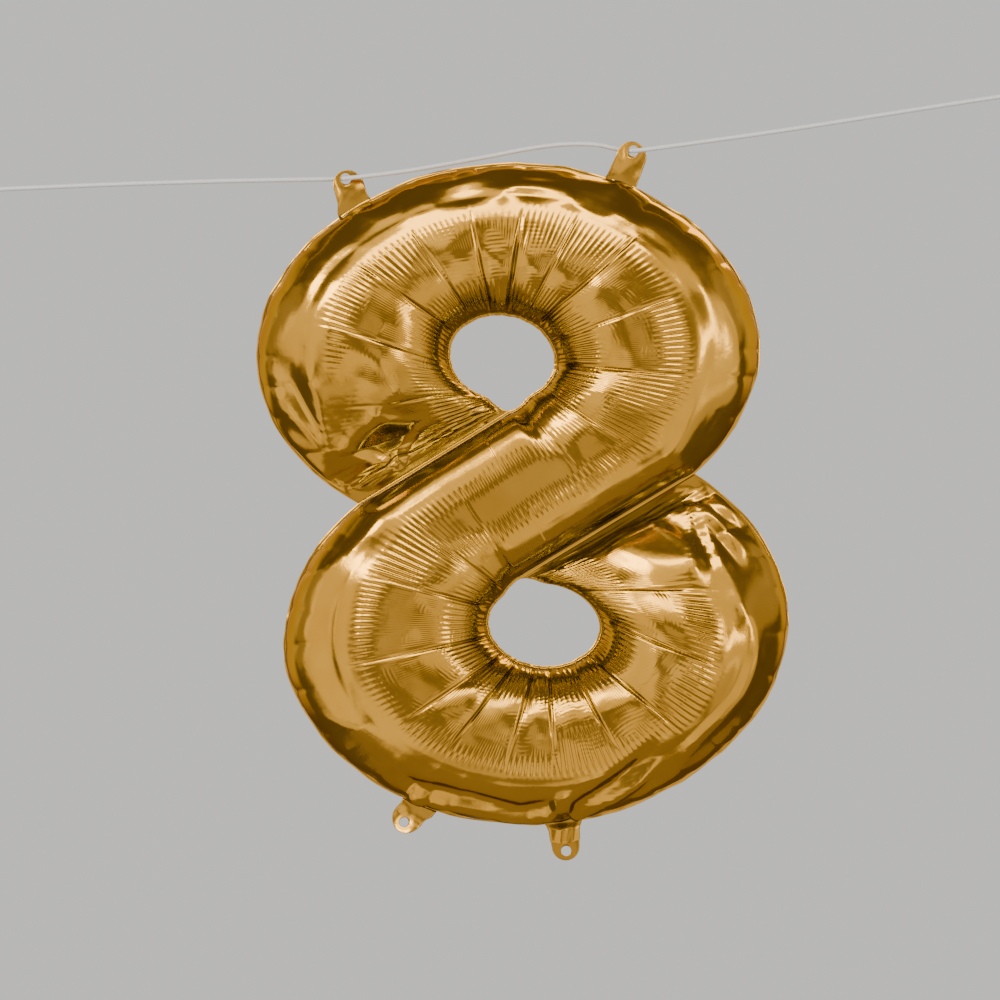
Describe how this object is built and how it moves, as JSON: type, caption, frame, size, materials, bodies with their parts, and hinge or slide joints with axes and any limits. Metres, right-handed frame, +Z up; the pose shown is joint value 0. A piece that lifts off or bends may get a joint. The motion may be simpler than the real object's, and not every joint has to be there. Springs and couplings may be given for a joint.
{
  "type": "foil number balloon",
  "caption": "Inflated metallised-film balloon in the shape of the figure eight, with hanging tabs, a self-sealing filler tail and a hanging string through its top eyelets.",
  "frame": {"origin": "middle of the straight line between the centres of the two top eyelets, on the plane of the seam", "axes": "+X to the balloon's right as seen from the front, +Z up, the front faces -Y"},
  "size_m": [0.562, 0.0672, 0.3647],
  "materials": {
    "gold_film": "gold metallised polyester film, bright, finely crinkled",
    "valve_film": "thin cloudy polyethylene film",
    "white_string": "white twisted cotton string"
  },
  "bodies": {
    "string": {"hanging_string": "white_string", "left_knot": "white_string", "right_knot": "white_string", "left_end_loop": "white_string", "right_end_loop": "white_string"},
    "top_tabs": {"tab_top_left": "gold_film", "tab_top_right": "gold_film"},
    "balloon": {"front_panel": "gold_film", "back_panel": "gold_film", "valve_back_film": "valve_film"},
    "bottom_left_tab": {"tab_bottom_left": "gold_film"},
    "filler_tail": {"filler_tail_back": "gold_film"},
    "tail_lip": {"filler_tail_front": "gold_film"},
    "valve_flap": {"valve_front_film": "valve_film"}
  },
  "joints": [
    {"name": "string_swing", "type": "hinge", "parent": "string", "child": "top_tabs", "pos_m": [0, 0, 0], "axis": [1, 0, 0], "range_deg": [-40, 40]},
    {"name": "tab_root_flex", "type": "hinge", "parent": "top_tabs", "child": "balloon", "pos_m": [0, 0, -0.0135], "axis": [1, 0, 0], "range_deg": [-25, 25]},
    {"name": "bottom_left_tab_flex", "type": "hinge", "parent": "balloon", "child": "bottom_left_tab", "pos_m": [-0.0673, 0, -0.3145], "axis": [0.7071, 0, -0.7071], "range_deg": [-60, 60]},
    {"name": "tail_flex", "type": "hinge", "parent": "balloon", "child": "filler_tail", "pos_m": [0.0052, 0, -0.3294], "axis": [1, 0, 0], "range_deg": [-60, 60]},
    {"name": "tail_lip_open", "type": "hinge", "parent": "filler_tail", "child": "tail_lip", "pos_m": [0.0052, -0.00038, -0.3293], "axis": [-1, 0, 0], "range_deg": [0, 30]},
    {"name": "valve_flap_open", "type": "hinge", "parent": "balloon", "child": "valve_flap", "pos_m": [0.0052, -0.0004, -0.3215], "axis": [1, 0, 0], "range_deg": [0, 8], "stiffness_Nm_per_rad": 0.001}
  ]
}
